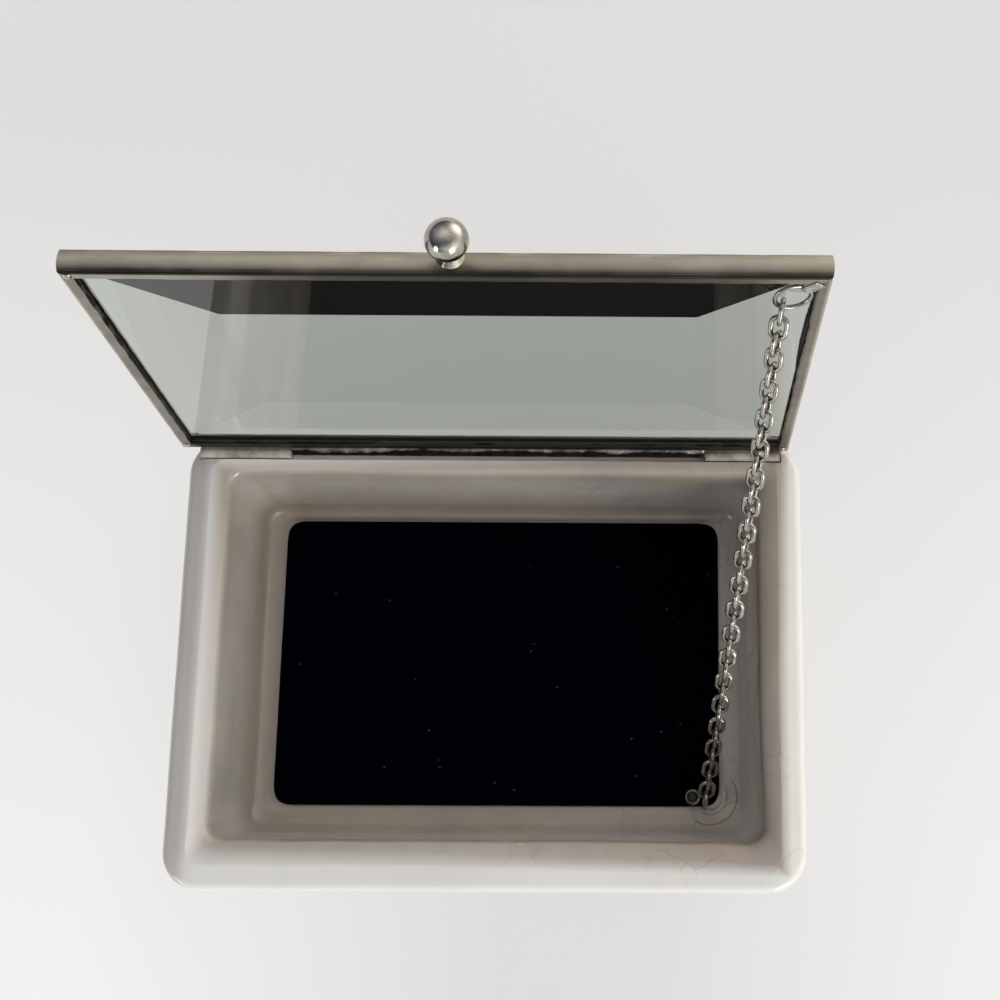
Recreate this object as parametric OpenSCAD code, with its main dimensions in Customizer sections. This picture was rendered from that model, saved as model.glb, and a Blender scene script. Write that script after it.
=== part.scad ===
// Casket box: a glazed ceramic tray with a bevelled glass lid in metal came, a ball knob,
// a rod hinge and a check chain. Millimetres. The origin is the middle of the tray's flat base,
// +X runs to the right, +Y to the hinge side and +Z up. The lid stands open, and is drawn
// closed in its own frame before it is swung up about the hinge rod.

/* [Tray] */
// Width of the tray over its rim
tray_w = 157; // [130:1:190]
// Depth of the tray over its rim, front to rear
tray_d = 113; // [94:1:136]
// Height of the tray
tray_h = 42; // [35:0.5:51]
// Width of the rim from its outer edge to its crest
rim_w = 6.3; // [5.2:0.1:7.6]
// How far the rim falls from its crest to its outer edge
rim_fall = 0.9; // [0:0.1:1.2]
// Width of the bank between the crest and the inner wall
bank_w = 4.6; // [3.8:0.1:5.5]
// How far the bank falls from the crest
bank_fall = 1; // [0.5:0.1:1.5]
// Thickness of the floor
floor_t = 5.5; // [4.5:0.1:7]
// How far the inner wall leans in between the bank and the cove
inner_lean = 2.3; // [1.5:0.1:3]
// How far the outer wall leans in between the rim and the base
outer_lean = 3.5; // [1:0.1:5]
// Radius of the cove between the inner wall and the floor
cove_r = 5; // [4:0.1:6]
// How far the floor of the well lies to the rear of the tray's middle
well_shift = 3.2; // [0:0.1:4]
// Corner radius of the rim's outer edge, seen from above
corner_outer_r = 9.5; // [7.5:0.5:12]
// Corner radius of the rim's crest, seen from above
corner_inner_r = 3.6; // [3:0.1:6]
// Rounding of the rim's outer edge
rim_outer_round = 2.4; // [1:0.1:2.6]
// Rounding of the rim's crest
crest_round = 3; // [2:0.5:5]
// Rounding between the bank and the inner wall
rim_inner_round = 2; // [1:0.1:2.4]
// Rounding of the base's edge
base_round = 2.5; // [1:0.1:3]

/* [Pad] */
// Room between the velvet pad and the cove at each side
pad_room_side = 1.45; // [0.3:0.05:3]
// Room between the velvet pad and the cove in front and behind
pad_room_end = 0.3; // [0.3:0.05:2]
// Corner radius of the pad
pad_corner_r = 2.4; // [1:0.1:5]
// Thickness of the card inside the pad
card_t = 1.2; // [0.8:0.1:2]
// Thickness of the velvet over the card
velvet_t = 1; // [0.6:0.1:1.6]
// How far the velvet wraps past the card's edges
velvet_wrap = 0.9; // [0.5:0.1:1.5]

/* [Lid] */
// How much narrower than the tray the lid is at each side
lid_in_side = 1; // [0:0.1:2]
// How far the closed lid's front edge lies behind the tray's
lid_in_front = 1.4; // [0.5:0.1:3]
// How far the lid sits to the left of the tray's middle
lid_shift = 2.15; // [-1:0.05:3]
// Gap between the closed lid and the rim
lid_gap = 0.6; // [0.2:0.05:0.8]
// Angle that the lid swings through, from closed to its open rest
open_angle = 95.6; // [60:0.1:110]
// Thickness of the glass inside its bevel
glass_t = 5; // [4:0.1:6]
// Thickness of the glass at its ground edge
glass_edge_t = 2.7; // [2:0.1:3.5]
// Width of the bevel
bevel_w = 25; // [15:0.5:30]
// Reach of the came's lips from the lid's edge
came_lip = 3; // [2.4:0.1:4]
// Thickness of the came's metal
came_t = 1.2; // [0.8:0.1:1.4]
// How far the came's outer face bulges
came_bulge = 0.35; // [0.1:0.05:0.6]
// Rounding of the came's outer edges
came_round = 0.7; // [0.3:0.05:0.9]
// Room left round the glass inside the came
glass_room = 0.3; // [0.2:0.05:0.5]
// Play between the glass's face and the came's lip
lip_play = 0.15; // [0.05:0.05:0.3]

/* [Knob] */
// Diameter of the ball
ball_d = 8.9; // [7:0.1:11]
// Distance of the ball's middle from the came's face
ball_reach = 7.8; // [6.5:0.1:10]
// Height of the ball's middle over the lid's underside
ball_h = 4; // [3:0.1:4.6]
// How far the knob sits to the right of the lid's middle
ball_shift = 0.8; // [-2:0.1:2]
// Diameter of the collar's foot
collar_d = 5.8; // [4:0.1:7]
// Diameter of the collar's waist
waist_d = 4; // [3:0.1:5]
// Depth of the cup in which the ball is seated
cup_depth = 1.1; // [0.6:0.1:1.6]

/* [Hinge] */
// Diameter of the hinge rod
rod_d = 1.5; // [1.2:0.1:1.9]
// Radial clearance between the rod and the tubes
rod_fit = 0.05; // [0.03:0.01:0.1]
// Wall of the hinge tubes
tube_wall = 0.7; // [0.4:0.05:0.9]
// Height of the rod's middle over the rim
rod_rise = 0.17; // [0:0.01:0.4]
// Length of the left tube
tube_left_len = 23; // [15:0.5:30]
// Length of the right tube
tube_right_len = 19; // [15:0.5:30]
// Distance of the left tube's end from the tray's side
tube_left_inset = 3.5; // [3:0.1:8]
// Distance of the right tube's end from the tray's side
tube_right_inset = 5.5; // [3:0.1:8]
// How far the rod stops short of the tubes' ends
rod_short = 1; // [0.5:0.1:2]
// Clearance between the tubes and what turns beside them
turn_gap = 0.3; // [0.25:0.05:0.6]
// Thickness of the adhesive bed under the tubes
bed_t = 0.2; // [0.1:0.05:0.5]
// Width of the adhesive bed at its foot
bed_w = 4.2; // [3.5:0.1:4.4]
// Room between the tubes and the step in front of them
step_room = 0.3; // [0.3:0.1:0.8]

/* [Chain] */
// Wire diameter of the lid's loop
loop_wire = 1; // [0.8:0.05:1.1]
// Radius of the loop to its wire's middle
loop_r = 3.8; // [3.2:0.1:4]
// Distance of the loop's middle from the lid's right edge
loop_in_x = 7.6; // [7.4:0.1:9]
// Distance of the loop's middle from the lid's front edge
loop_in_y = 8.7; // [8.4:0.1:10]
// Tilt of the loop out of the glass
loop_tilt = 13; // [12:0.5:16]
// Wire diameter of the chain
link_wire = 1.15; // [0.9:0.05:1.2]
// Width of a link
link_w = 4.7; // [4.4:0.1:5]
// Pitch that the links are chosen for
link_pitch = 4.12; // [4:0.02:4.4]
// Play in each link
link_play = 0.16; // [0.12:0.02:0.3]
// Twist of the chain at its top
top_twist = 42; // [0:1:45]
// Height of the chain's end over the pad
anchor_rise = 2.2; // [2.1:0.1:4]
// Distance of the chain's end from the pad's right edge
anchor_in_x = 4.05; // [3.5:0.1:8]
// Distance of the chain's end from the pad's front edge
anchor_in_y = 0.8; // [0.5:0.1:4]
// Wire diameter of the fixed ring on the pad
ring_wire = 0.9; // [0.7:0.05:1.1]
// Radius of the fixed ring to its wire's middle
ring_r = 1.7; // [1.4:0.1:2.2]

/* [Hidden] */
$fn = 48;
far = 400; // reach of the tools that cut right through

// Tray
corner_steps = 8; // facets of a quarter turn, seen from above
arc_steps = 5;    // facets of a rounding
crest_steps = 4;  // facets of the rim's crest
cove_steps = 7;   // facets of the cove
corner_growth = 0.15; // growth of the inner corner radius for each millimetre inside the crest
rim_slope = atan(rim_fall / (rim_w - rim_outer_round));
bank_slope = atan(bank_fall / (bank_w - rim_inner_round));
inner_foot = rim_w + bank_w + inner_lean + cove_r; // inset at which the floor turns flat

// Pad
pad_w = tray_w - 2 * (inner_foot + pad_room_side);
pad_d = tray_d - 2 * (inner_foot + pad_room_end);
pad_bottom = floor_t;
pad_top = pad_bottom + card_t + velvet_t;
pad_right = pad_w / 2;
pad_front = well_shift - pad_d / 2;

// Hinge
tube_d = rod_d + 2 * rod_fit + 2 * tube_wall;
rod_z = tray_h + rod_rise;
rebate_z = rod_z - tube_d / 2 - bed_t;
rebate_y = tray_d / 2 - rim_w;
rod_y = rebate_y + step_room + tube_d / 2;
lid_back = tube_d / 2 + turn_gap;      // rod's middle to the lid's rear edge
lid_up = lid_gap - rod_rise;           // rod's middle to the lid's underside

// Lid, in its closed frame: x from the lid's middle, y from the rear edge and negative towards
// the front, z from the underside
lid_w = tray_w - 2 * lid_in_side;
lid_d = rod_y - lid_back + tray_d / 2 - lid_in_front;
glass_w = lid_w - 2 * (came_t + glass_room);
glass_d = lid_d - 2 * (came_t + glass_room);
bevel_fall = (glass_t - glass_edge_t) / bevel_w;
came_h = 2 * came_t + glass_edge_t + bevel_fall * (came_lip - came_t - glass_room) + lip_play;
solder_d = 2.2;      // spread of a solder spot on a mitre
solder_top = 0.6;    // width of its flat top, as a share of the spread
solder_t = 0.3;      // height of a solder spot
solder_in = 1.9;     // distance of a spot from the lid's two edges

// Knob
foot_t = 0.5;     // height of the collar's foot
foot_slope = 1;   // height over which the foot narrows to the waist
cup_neck = 0.4;   // start of the cup before the ball's pole
cup_flare = 0.5;  // growth of the cup from the waist to its lip

// Solder and adhesive at the hinge
tube_left_x = -tray_w / 2 + tube_left_inset;
tube_right_x = tray_w / 2 - tube_right_inset;
rod_left = tube_left_x + rod_short;
rod_right = tube_right_x - rod_short;
strip_left = tube_left_x + tube_left_len + turn_gap;
strip_right = tube_right_x - tube_right_len - turn_gap;
strip_up = 0.95;     // depth of the solder under the rod's middle
strip_web = 0.5;     // reach of the solder past the rod's middle
strip_low = 0.05;    // solder on the came's face, from the lid's underside
strip_high = 1.95;
rebate_side = 0.5;   // room at each end of the rebate
bed_front = tube_d * 0.3;   // adhesive in front of the rod's middle
bed_heel = 0.5;             // its height there
fillet_back = tube_d * 0.45; // where it leaves the tube, behind the rod's middle
fillet_up = tube_d * 0.75;   // and over the rebate

// Loop and chain
loop_x = lid_w / 2 - loop_in_x;
loop_y = -(lid_d - loop_in_y);
corner_angle = -45;                    // from the loop's middle to the lid's corner
hook_angle = 122;                      // from the loop's middle to the chain
loop_lift = came_t - loop_wire / 2 - 0.03; // the wire lies just off the glass at the corner
patch_w = 2.6;        // width of the solder between the loop and the came's corner
patch_bite = 0.6;     // reach of that solder into the came's inner corner
patch_turn = 4;       // its turn off the corner's diagonal
patch_clear = 0.05;   // room left between it and the glass
loop_z = loop_lift - loop_r * sin(loop_tilt);
hook_local = loop_r * [cos(hook_angle), sin(hook_angle)];
hook_drop = (hook_local * [cos(corner_angle), sin(corner_angle)]) * sin(loop_tilt);
hook_lid = [loop_x + hook_local.x, loop_y + hook_local.y, loop_z + hook_drop];
swung = [hook_lid.y - lid_back, hook_lid.z + lid_up];
hook = [hook_lid.x - lid_shift,
        rod_y + swung[0] * cos(open_angle) + swung[1] * sin(open_angle),
        rod_z - swung[0] * sin(open_angle) + swung[1] * cos(open_angle)];
anchor = [pad_right - anchor_in_x, pad_front + anchor_in_y, pad_top + anchor_rise];
run = norm(anchor - hook);
dir = (anchor - hook) / run;
loop_play = 0.36;                      // room for the slant of the loop's wire in the first link
grip = loop_wire / 2 + loop_play;      // from the loop's wire to the first link's inner end
end_grip = (link_wire + link_play) / 2; // from the chain's end to the last link's inner end
run_full = run + grip + end_grip;
link_pairs = round((run_full / link_pitch - 1) / 2);
link_count = 2 * link_pairs + 1;       // odd, so that the first and last links stand alike
pitch = run_full / link_count;
twist_start = 3;                       // links over which the twist builds up below the loop
twist_links = 28;                      // links over which it dies away again
link_step = 0.02;                      // link lengths go up in steps of this
link_l = ceil((pitch + 2 * link_wire + link_play) / link_step) * link_step;
row_links = [8, 5, 1, 5, 1, 5, 1, 7, 6]; // links of each stretch of chain, from the lid
row_total = row_links * [for (k = row_links) 1];
// where each stretch starts, which moves along with the number of links
row_start = [for (i = [0:len(row_links) - 1])
    i == 0 ? 0
    : round([for (k = [0:i - 1]) row_links[k]] * [for (k = [0:i - 1]) 1] * link_count / row_total)];
ring_lag = 1.6;       // the fixed ring's middle behind the chain's end
glue_rise = 0.8;      // height of the glue inside the fixed ring
ring_x = anchor.x - link_wire / 2 - turn_gap - ring_r - ring_wire / 2;

// ---------------------------------------------------------------- shapes

// points of an arc in a profile whose x is the inset: middle, radius and the two angles
function arc(cx, cz, r, a0, a1, n) =
    [for (i = [0:n]) let (a = a0 + (a1 - a0) * i / n) [cx + r * cos(a), cz + r * sin(a)]];

// one ring of a loft: a rounded rectangle of width w, depth d and corner radius r at height z,
// moved back by y
function ring(w, d, r, z, y) =
    [for (c = [[1, 1, 0], [-1, 1, 90], [-1, -1, 180], [1, -1, 270]], i = [0:corner_steps])
        let (a = c[2] + 90 * i / corner_steps)
        [c[0] * (w / 2 - r) + r * cos(a), y + c[1] * (d / 2 - r) + r * sin(a), z]];

// a closed solid through a list of rings that all have the same number of points
module loft(rings) {
    n = len(rings[0]);
    last = len(rings) - 1;
    polyhedron(
        points = [for (r = rings) each r],
        faces = concat(
            [[for (j = [0:n - 1]) j]],
            [for (i = [0:last - 1], j = [0:n - 1]) let (k = (j + 1) % n)
                [i * n + j, (i + 1) * n + j, (i + 1) * n + k, i * n + k]],
            [[for (j = [n - 1:-1:0]) last * n + j]]));
}

function corner_r(inset) = inset <= rim_w
    ? corner_outer_r - inset * (corner_outer_r - corner_inner_r) / rim_w
    : corner_inner_r + (inset - rim_w) * corner_growth;

// the well's shift to the rear builds up from the crest to the floor
function shift_y(inset) = well_shift * max(0, (inset - rim_w) / (inner_foot - rim_w));

module rounded_block(w, d, h, r) {
    linear_extrude(h) {
        square([w - 2 * r, d], center = true);
        square([w, d - 2 * r], center = true);
        for (x = [-1, 1], y = [-1, 1])
            translate([x * (w / 2 - r), y * (d / 2 - r)])
                circle(r);
    }
}

// puts what is drawn in the lid's closed frame where the open lid stands
module lid_open() {
    translate([-lid_shift, rod_y, rod_z])
        rotate([-open_angle, 0, 0])
            translate([0, -lid_back, lid_up])
                children();
}

// cylinder along +X from x0 to x1 at the rod's middle
module along_rod(x0, x1, d) {
    translate([x0, rod_y, rod_z])
        rotate([0, 90, 0])
            cylinder(d = d, h = x1 - x0);
}

// ---------------------------------------------------------------- tray and pad

module tray() {
    profile = concat(
        arc(outer_lean + base_round, base_round, base_round, -90, -180, arc_steps),
        arc(rim_outer_round, tray_h - rim_fall - rim_outer_round, rim_outer_round,
            180, 90 + rim_slope, arc_steps),
        arc(rim_w, tray_h - crest_round, crest_round, 90 + rim_slope, 90 - bank_slope, crest_steps),
        arc(rim_w + bank_w - rim_inner_round, tray_h - bank_fall - rim_inner_round,
            rim_inner_round, 90 - bank_slope, 0, arc_steps),
        arc(inner_foot, floor_t + cove_r, cove_r, 180, 270, cove_steps));
    color("gainsboro")
    difference() {
        loft([for (p = profile)
            ring(tray_w - 2 * p[0], tray_d - 2 * p[0], corner_r(p[0]), p[1], shift_y(p[0]))]);
        rebate();
    }
}

// the step in the rear rim, behind its crest, that takes the hinge
module rebate() {
    x0 = tube_left_x - rebate_side;
    translate([x0, rebate_y, rebate_z])
        cube([tube_right_x + rebate_side - x0, far, far]);
}

module insert_card() {
    color("tan")
    translate([0, well_shift, pad_bottom])
        rounded_block(pad_w - 2 * velvet_wrap, pad_d - 2 * velvet_wrap, card_t,
                      pad_corner_r - velvet_wrap);
}

module velvet_pad() {
    color("midnightblue")
    translate([0, well_shift, pad_bottom])
        difference() {
            rounded_block(pad_w, pad_d, card_t + velvet_t, pad_corner_r);
            translate([0, 0, -1])
                rounded_block(pad_w - 2 * velvet_wrap, pad_d - 2 * velvet_wrap, card_t + 1,
                              pad_corner_r - velvet_wrap);
        }
}

// ---------------------------------------------------------------- lid

// half-plane outline of the bevelled glass, across a width w
module bevel_outline(w) {
    polygon([[-w / 2, 0], [w / 2, 0], [w / 2, glass_edge_t], [w / 2 - bevel_w, glass_t],
             [-w / 2 + bevel_w, glass_t], [-w / 2, glass_edge_t]]);
}

module lid_glass() {
    color("lightcyan", 0.35)
    lid_open()
        translate([0, -lid_d / 2, came_t])
            intersection() {
                rotate([90, 0, 0])
                    translate([0, 0, -glass_d / 2])
                        linear_extrude(glass_d)
                            bevel_outline(glass_w);
                rotate([90, 0, 90])
                    translate([0, 0, -glass_w / 2])
                        linear_extrude(glass_w)
                            bevel_outline(glass_d);
            }
}

// cross-section of the came: its face bulges at x = 0 and its two lips point to +x
module came_outline() {
    bulge_r = (pow(came_h / 2, 2) + pow(came_bulge, 2)) / (2 * came_bulge);
    difference() {
        intersection() {
            union() {
                translate([came_round, 0])
                    square([came_lip - came_round, came_h]);
                translate([0, came_round])
                    square([came_lip, came_h - 2 * came_round]);
                for (z = [came_round, came_h - came_round])
                    translate([came_round, z])
                        circle(came_round);
            }
            translate([bulge_r, came_h / 2])
                circle(bulge_r, $fn = 96);
        }
        translate([came_t, came_t])
            square([came_lip, came_h - 2 * came_t]);
    }
}

// a straight of came of the given length with both ends mitred, lips towards +y, face at y = 0
module came_bar(length) {
    intersection() {
        translate([-length / 2, 0, 0])
            rotate([90, 0, 90])
                linear_extrude(length)
                    came_outline();
        linear_extrude(came_h)
            polygon([[-length / 2, 0], [length / 2, 0], [length / 2 - came_lip, came_lip],
                     [-length / 2 + came_lip, came_lip]]);
    }
}

module came_front() {
    color("silver")
    lid_open()
        translate([0, -lid_d, 0])
            came_bar(lid_w);
}

module came_rear() {
    color("silver")
    lid_open()
        rotate([0, 0, 180])
            came_bar(lid_w);
}

module came_left() {
    color("silver")
    lid_open()
        translate([-lid_w / 2, -lid_d / 2, 0])
            rotate([0, 0, -90])
                came_bar(lid_d);
}

module came_right() {
    color("silver")
    lid_open()
        translate([lid_w / 2, -lid_d / 2, 0])
            rotate([0, 0, 90])
                came_bar(lid_d);
}

// a low dome of the given spread and height, standing on z = 0
module dome(spread, height) {
    r = (pow(spread / 2, 2) + pow(height, 2)) / (2 * height);
    rotate_extrude()
        intersection() {
            translate([0, height - r])
                circle(r, $fn = 144);
            square([spread, height]);
        }
}

// the spots of solder on the mitres: on top at each corner, and below where no loop is soldered
module corner_solder() {
    color("lightgray")
    lid_open()
        for (x = [-1, 1], y = [-solder_in, -lid_d + solder_in])
            translate([x * (lid_w / 2 - solder_in), y, 0]) {
                translate([0, 0, came_h])
                    cylinder(d1 = solder_d, d2 = solder_d * solder_top, h = solder_t);
                if (x < 0 || y > -lid_d / 2)
                    translate([0, 0, -lid_gap / 2])
                        cylinder(d1 = solder_d * solder_top, d2 = solder_d, h = lid_gap / 2);
            }
}

// ---------------------------------------------------------------- knob

// puts +z along the knob's axis, with z = 0 on the came's face
module knob_place() {
    lid_open()
        translate([ball_shift, -lid_d, ball_h])
            rotate([90, 0, 0])
                children();
}

module knob_collar() {
    seat = ball_reach - ball_d / 2;
    color("silver")
    difference() {
        knob_place()
            rotate_extrude()
                polygon([[0, -came_bulge], [collar_d / 2, -came_bulge], [collar_d / 2, foot_t],
                         [waist_d / 2, foot_t + foot_slope], [waist_d / 2, seat - cup_neck],
                         [waist_d / 2 + cup_flare, seat + cup_depth], [0, seat + cup_depth]]);
        knob_ball();
        came_front();
    }
}

module knob_ball() {
    color("silver")
    knob_place()
        translate([0, 0, ball_reach])
            sphere(d = ball_d);
}

// ---------------------------------------------------------------- hinge

module hinge_rod() {
    color("silver")
    along_rod(rod_left, rod_right, rod_d);
}

module hinge_tube(x0, x1) {
    color("silver")
    difference() {
        along_rod(x0, x1, tube_d);
        along_rod(x0 - 1, x1 + 1, rod_d + 2 * rod_fit);
    }
}

module hinge_tube_left() {
    hinge_tube(tube_left_x, tube_left_x + tube_left_len);
}

module hinge_tube_right() {
    hinge_tube(tube_right_x - tube_right_len, tube_right_x);
}

// the bar of solder that joins the rod to the rear came between the tubes
module rod_solder() {
    color("lightgray")
    difference() {
        lid_open()
            translate([0, lid_back, -lid_up])
                rotate([90, 0, 90])
                    translate([0, 0, strip_left + lid_shift])
                        linear_extrude(strip_right - strip_left)
                            polygon([[-lid_back - came_round, lid_up + strip_low],
                                     [-lid_back - came_round, lid_up + strip_high],
                                     [-lid_back, lid_up + strip_high],
                                     [strip_web, rod_d / 2], [strip_web, -rod_d / 2],
                                     [-rod_d / 2, -strip_up], [-lid_back, lid_up + strip_low]]);
        along_rod(rod_left - 1, rod_right + 1, rod_d);
        came_rear();
    }
}

// the bed of clear adhesive under and behind a tube
module tube_adhesive(x0, x1) {
    color("wheat", 0.6)
    difference() {
        translate([x0, rod_y, rebate_z])
            rotate([90, 0, 90])
                linear_extrude(x1 - x0)
                    polygon([[-bed_front, 0], [bed_w - bed_front, 0], [fillet_back, fillet_up],
                             [-bed_front, bed_heel]]);
        along_rod(x0 - 1, x1 + 1, tube_d);
    }
}

module tube_adhesive_left() {
    tube_adhesive(tube_left_x, tube_left_x + tube_left_len);
}

module tube_adhesive_right() {
    tube_adhesive(tube_right_x - tube_right_len, tube_right_x);
}

// ---------------------------------------------------------------- loop and chain

module loop_place() {
    lid_open()
        translate([loop_x, loop_y, loop_z])
            rotate([0, 0, corner_angle])
                rotate([0, -loop_tilt, 0])
                    children();
}

module chain_loop() {
    color("silver")
    loop_place()
        rotate_extrude()
            translate([loop_r, 0])
                circle(d = loop_wire);
}

// the spot of solder between the loop and the corner of the came
module loop_solder() {
    reach = norm([loop_in_x - came_lip, loop_in_y - came_lip]) - loop_r;
    color("lightgray")
    difference() {
        lid_open()
            translate([loop_x, loop_y, 0])
                rotate([0, 0, corner_angle - patch_turn])
                    translate([loop_r - loop_wire / 2, -patch_w / 2, -lid_gap / 2])
                        cube([reach + loop_wire / 2 + patch_bite, patch_w,
                              came_t + lid_gap / 2 - patch_clear]);
        chain_loop();
        came_front();
        came_right();
    }
}

// a link with its long axis along z and its middle at the origin, flat in the xz plane
module link() {
    bend_r = (link_w - link_wire) / 2;
    side = link_l - link_w;
    for (s = [-1, 1])
        translate([s * bend_r, 0, -side / 2])
            cylinder(d = link_wire, h = side, $fn = 24);
    for (s = [0, 180])
        rotate([0, s, 0])
            translate([0, 0, side / 2])
                rotate([90, 0, 0])
                    rotate_extrude(angle = 180, $fn = 36)
                        translate([bend_r, 0])
                            circle(d = link_wire, $fn = 24);
}

// twist of link i about the chain's run: it builds up from the loop and dies away down the chain
function twist(i) = top_twist * min(1, i / twist_start) * max(0, 1 - i / twist_links);

// puts +z along the chain, with z = 0 at the loop's wire
module chain_place() {
    lean = asin(dir.x);
    swing = atan2(-dir.y, dir.z);
    translate(hook)
        rotate([swing, 0, 0])
            rotate([0, lean, 0])
                children();
}

// the links from number first to number last, counted from the lid
module chain_row(first, last) {
    color("silver")
    chain_place()
        for (i = [first:last])
            translate([0, 0, (i + 0.5) * pitch - grip])
                rotate([0, 0, (i % 2 == 0 ? 90 : 0) + twist(i)])
                    link();
}

module chain_1() { chain_row(row_start[0], row_start[1] - 1); }
module chain_2() { chain_row(row_start[1], row_start[2] - 1); }
module chain_3() { chain_row(row_start[2], row_start[3] - 1); }
module chain_4() { chain_row(row_start[3], row_start[4] - 1); }
module chain_5() { chain_row(row_start[4], row_start[5] - 1); }
module chain_6() { chain_row(row_start[5], row_start[6] - 1); }
module chain_7() { chain_row(row_start[6], row_start[7] - 1); }
module chain_8() { chain_row(row_start[7], row_start[8] - 1); }
module chain_9() { chain_row(row_start[8], link_count - 1); }

// the fixed ring that lies on the pad beside the chain's last link
module anchor_link() {
    color("silver")
    translate([ring_x, anchor.y + ring_lag, pad_top + ring_wire / 2])
        rotate_extrude()
            translate([ring_r, 0])
                circle(d = ring_wire);
}

module anchor_glue() {
    color("wheat", 0.6)
    difference() {
        translate([ring_x, anchor.y + ring_lag, pad_top])
            dome(2 * ring_r, glue_rise);
        anchor_link();
    }
}

tray();
insert_card();
velvet_pad();
lid_glass();
came_front();
came_rear();
came_left();
came_right();
corner_solder();
knob_collar();
knob_ball();
hinge_rod();
rod_solder();
hinge_tube_left();
hinge_tube_right();
tube_adhesive_left();
tube_adhesive_right();
chain_loop();
loop_solder();
chain_1();
chain_2();
chain_3();
chain_4();
chain_5();
chain_6();
chain_7();
chain_8();
chain_9();
anchor_link();
anchor_glue();
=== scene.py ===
"""Looks of the casket box: a crackle-glazed ceramic tray with a velvet pad, and a bevelled glass lid in
metal came that stands open on its rod hinge, with a ball knob and a check chain. Lengths are in metres."""
import math

import bmesh
import bpy
from mathutils import Matrix, Vector, noise

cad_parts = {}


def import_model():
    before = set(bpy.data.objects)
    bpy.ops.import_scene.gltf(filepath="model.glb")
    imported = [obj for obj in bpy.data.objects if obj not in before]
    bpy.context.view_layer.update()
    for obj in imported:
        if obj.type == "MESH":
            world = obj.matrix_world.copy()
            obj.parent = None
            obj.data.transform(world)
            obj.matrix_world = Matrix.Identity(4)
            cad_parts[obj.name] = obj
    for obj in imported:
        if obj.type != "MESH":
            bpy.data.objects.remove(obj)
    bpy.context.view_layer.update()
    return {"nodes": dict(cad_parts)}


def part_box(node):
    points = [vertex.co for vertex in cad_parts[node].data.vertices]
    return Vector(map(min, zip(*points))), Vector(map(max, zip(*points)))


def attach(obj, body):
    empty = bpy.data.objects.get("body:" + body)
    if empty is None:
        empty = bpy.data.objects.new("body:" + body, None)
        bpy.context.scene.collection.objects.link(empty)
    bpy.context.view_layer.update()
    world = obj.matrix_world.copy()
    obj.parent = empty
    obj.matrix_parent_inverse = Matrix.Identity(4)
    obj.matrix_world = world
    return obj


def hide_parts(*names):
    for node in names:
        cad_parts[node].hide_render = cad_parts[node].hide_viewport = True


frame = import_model()
nodes = frame["nodes"]
MM = 0.001

# the real sizes, in mm, as in the CAD
TRAY_W, TRAY_D, TRAY_H = 157.0, 113.0, 42.0
RIM, FOOT = 6.3, 18.2           # how far in from the outside the crest and the wall's foot are
SHIFT = 3.2                     # the well sits this far back
PAD_W, PAD_D, PAD_R, PAD_TOP = 117.7, 76.0, 2.4, 7.7
LID_W, LID_D = 155.0, 105.3
CAME_H, LIP = 5.388, 3.0        # the came's height, and how far in its lips reach
LID_SHIFT = 2.15                # the lid sits this far to the left
LID_BACK, LID_UP = 1.8, 0.43    # from the rod's middle to the closed lid's rear edge and underside
ROD_Y, ROD_Z, OPEN = 52.0, 42.17, math.radians(95.6)


# ------------------------------------------------------------------ helpers
def mesh_object(name, verts, faces, smooth=True):
    mesh = bpy.data.meshes.new(name)
    mesh.from_pydata(verts, [], faces)
    mesh.validate()
    for p in mesh.polygons:
        p.use_smooth = smooth
    obj = bpy.data.objects.new(name, mesh)
    bpy.context.scene.collection.objects.link(obj)
    return obj


def set_material(obj, mat):
    obj.data.materials.clear()
    obj.data.materials.append(mat)


def apply_modifiers(obj):
    dg = bpy.context.evaluated_depsgraph_get()
    mesh = bpy.data.meshes.new_from_object(obj.evaluated_get(dg))
    obj.modifiers.clear()
    obj.data = mesh


def fix_normals(obj):
    bm = bmesh.new()
    bm.from_mesh(obj.data)
    bmesh.ops.recalc_face_normals(bm, faces=bm.faces)
    bm.to_mesh(obj.data)
    bm.free()


def stand_in(obj, node, body):
    """The piece takes a CAD node's place and moves with its body."""
    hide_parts(node)
    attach(obj, body)


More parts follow.
